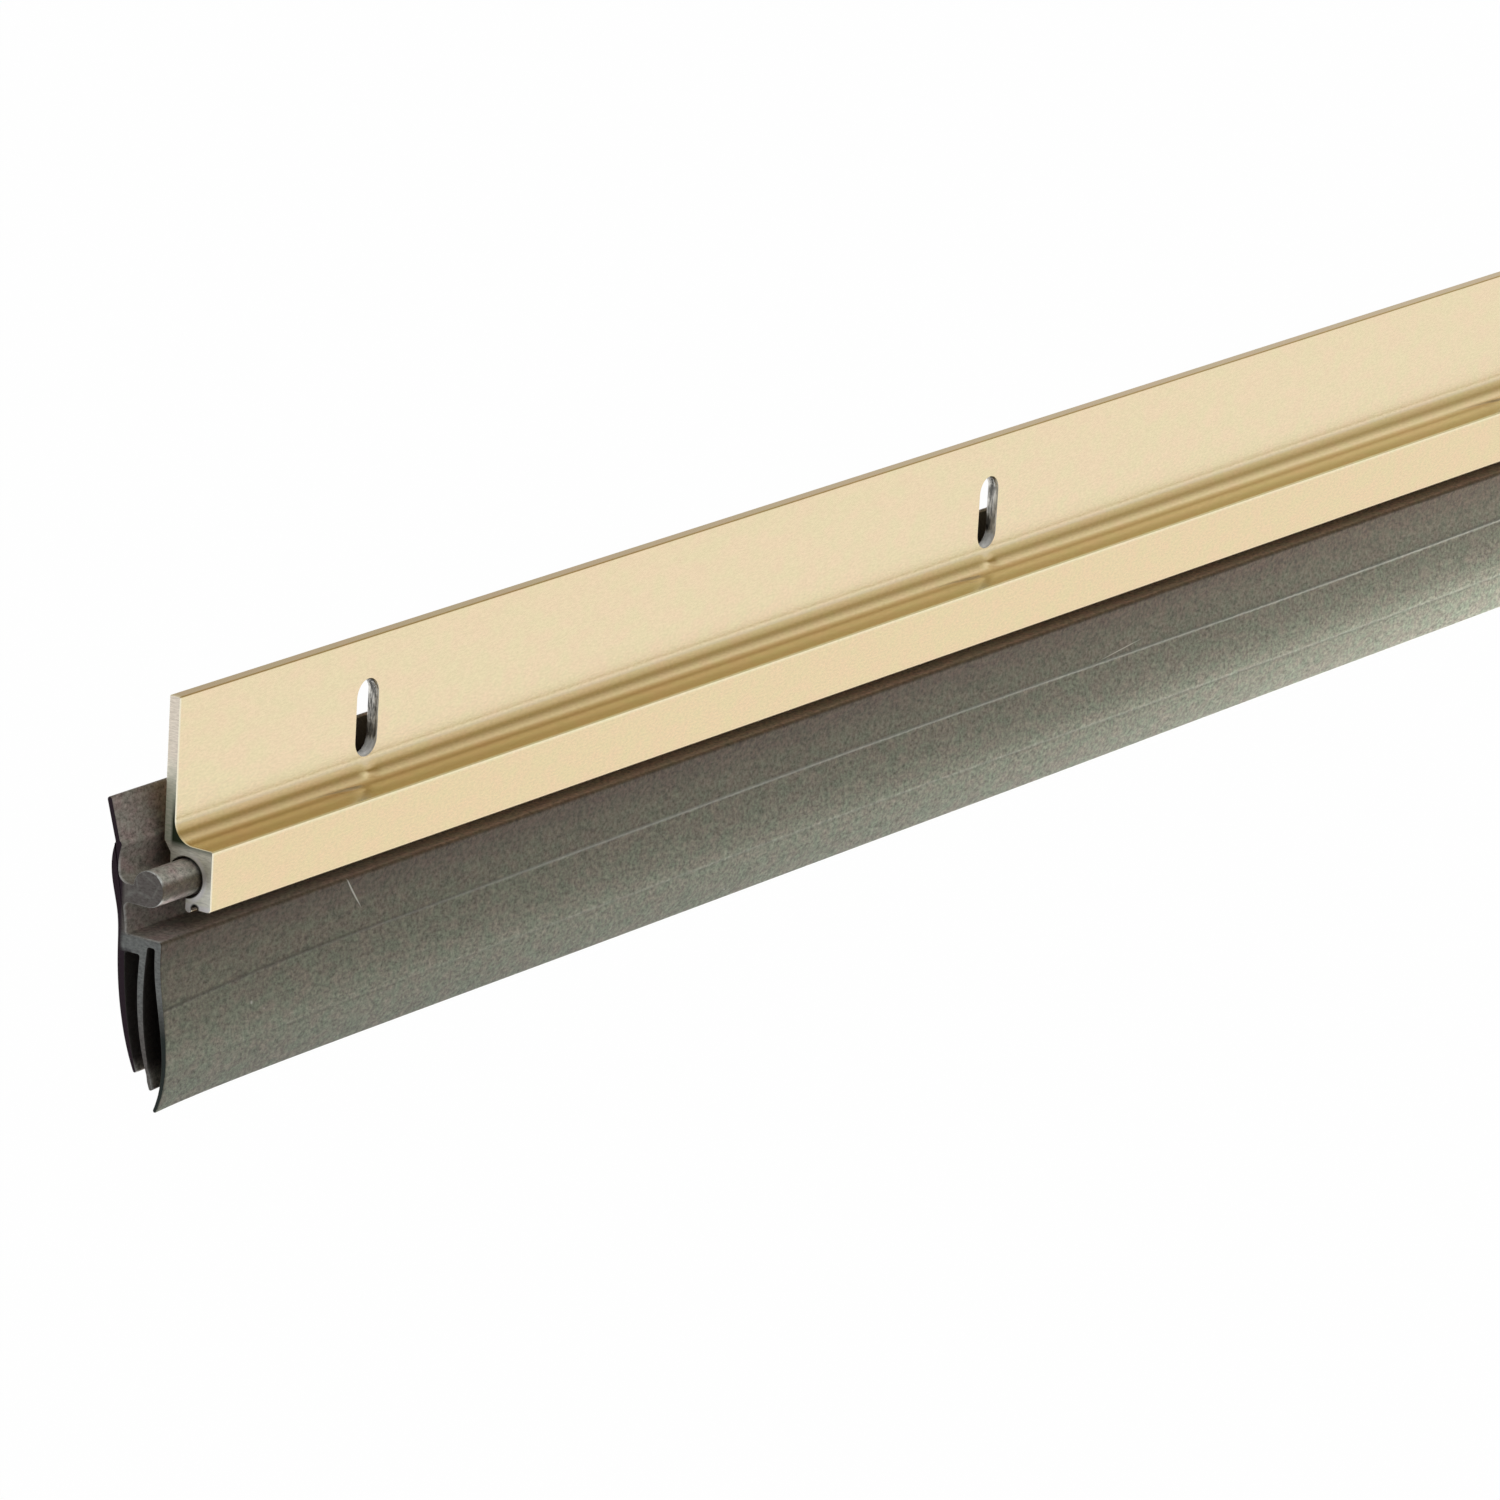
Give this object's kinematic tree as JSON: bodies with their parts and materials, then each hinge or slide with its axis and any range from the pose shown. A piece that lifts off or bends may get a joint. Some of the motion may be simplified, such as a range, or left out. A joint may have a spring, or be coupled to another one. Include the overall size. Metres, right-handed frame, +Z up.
{
  "type": "door sweep",
  "caption": "Straight aluminium carrier strip with a row of upright screw slots, holding a grey vinyl seal with three drooping fins in a keyhole channel along its lower edge.",
  "frame": {"origin": "centre of the middle screw slot, at the flange's back face, which lies on the door", "axes": "+X along the strip, +Y into the door, +Z up towards the flange's top edge; the front faces -Y"},
  "size_m": [0.9286, 0.0107, 0.0499],
  "materials": {
    "carrier_metal": "satin gold anodised, bare where it was cut",
    "seal_vinyl": "matte grey-brown flexible vinyl"
  },
  "bodies": {
    "carrier": {"carrier": "carrier_metal"},
    "seal": {"seal": "seal_vinyl"}
  },
  "joints": [
    {"name": "seal_slide", "type": "slide", "parent": "carrier", "child": "seal", "axis": [1, 0, 0], "range_m": [-0.93, 0.93]}
  ]
}
